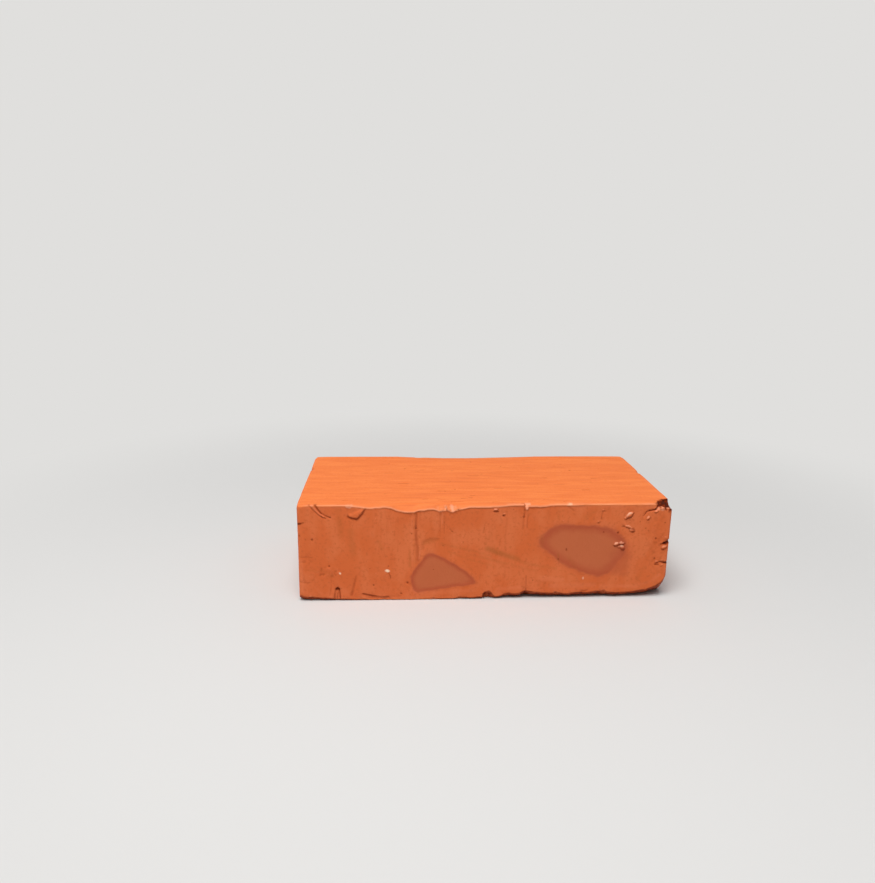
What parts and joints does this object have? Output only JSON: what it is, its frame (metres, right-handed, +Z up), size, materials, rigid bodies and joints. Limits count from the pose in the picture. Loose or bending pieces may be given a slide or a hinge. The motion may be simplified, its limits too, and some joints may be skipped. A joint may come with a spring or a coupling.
{
  "type": "clay brick",
  "caption": "Solid fired-clay brick: a plain rectangular block with worn arrises, a rolled lip and small chips, laid flat in mortar to build walls.",
  "frame": {"origin": "middle of the lower bed face, on the floor that the brick lies on", "axes": "+X along the length, -Y out of the long face that the picture shows, +Z up through the upper bed face"},
  "size_m": [0.22, 0.1062, 0.06],
  "materials": {
    "fired_clay": "matte fired clay, orange-red, smooth die-drawn faces with brownish-red marks"
  },
  "bodies": {
    "root": {"brick": "fired_clay"}
  },
  "joints": []
}
